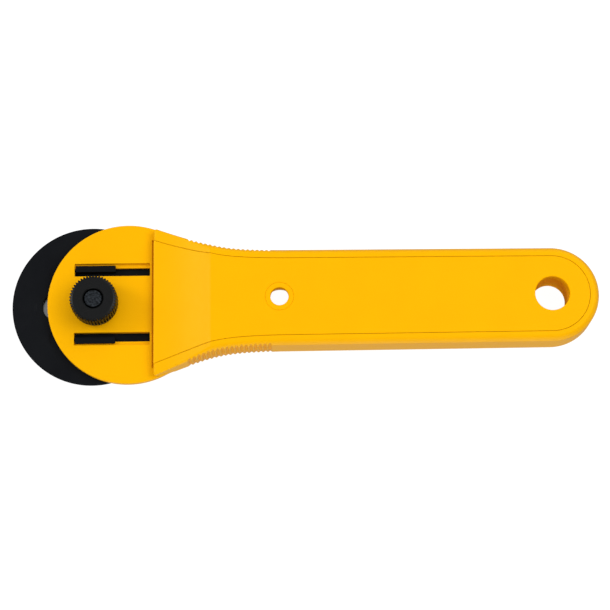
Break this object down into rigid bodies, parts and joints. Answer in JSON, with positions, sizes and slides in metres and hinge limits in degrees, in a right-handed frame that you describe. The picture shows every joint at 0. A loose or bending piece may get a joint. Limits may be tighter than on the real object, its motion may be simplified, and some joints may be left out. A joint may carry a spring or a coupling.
{
  "type": "rotary cutter",
  "caption": "Straight-handled rotary cutter for fabric: a round blade under a sliding guard disc, a knurled thumb nut, and a moulded handle with a hanging hole in its rounded tail.",
  "frame": {"origin": "middle of the underside of the bounding box; the blade axis is the vertical line at x = -63.7 mm, y = 0", "axes": "+X along the handle from the blade to the hanging hole, +Y across the handle, +Z square to the blade, towards the thumb nut"},
  "size_m": [0.1792, 0.0494, 0.0159],
  "materials": {
    "handle_plastic": "semi-gloss yellow moulding with a fine grain",
    "guard_plastic": "matte black with a fine spark-eroded texture",
    "nut_plastic": "matte black, knurled",
    "blade_steel": "ground tool steel with a polished bevel",
    "bolt_steel": "dark blackened steel",
    "spring_steel": "plain spring steel"
  },
  "bodies": {
    "handle": {"handle_frame": "handle_plastic", "front_panel": "handle_plastic", "back_panel": "handle_plastic", "bolt": "bolt_steel"},
    "guard": {"blade_guard": "guard_plastic"},
    "blade": {"blade": "blade_steel"},
    "washer": {"spring_washer": "spring_steel"},
    "nut": {"thumb_nut": "nut_plastic"}
  },
  "joints": [
    {"name": "guard_slide", "type": "slide", "parent": "handle", "child": "guard", "axis": [1, 0, 0], "range_m": [0, 0.0103]},
    {"name": "blade_spin", "type": "hinge", "parent": "handle", "child": "blade", "pos_m": [-0.0637, 0, 0.00195], "axis": [0, 0, 1], "continuous": true},
    {"name": "washer_lift", "type": "slide", "parent": "handle", "child": "washer", "axis": [0, 0, 1], "range_m": [0, 0.0015]},
    {"name": "nut_turn", "type": "hinge", "parent": "washer", "child": "nut", "pos_m": [-0.0637, 0, 0.01145], "axis": [0, 0, 1], "range_deg": [0, 540]}
  ],
  "couplings": [
    {"joint": "nut_turn", "follows": "washer_lift", "rad_per_m": 6283.2}
  ]
}
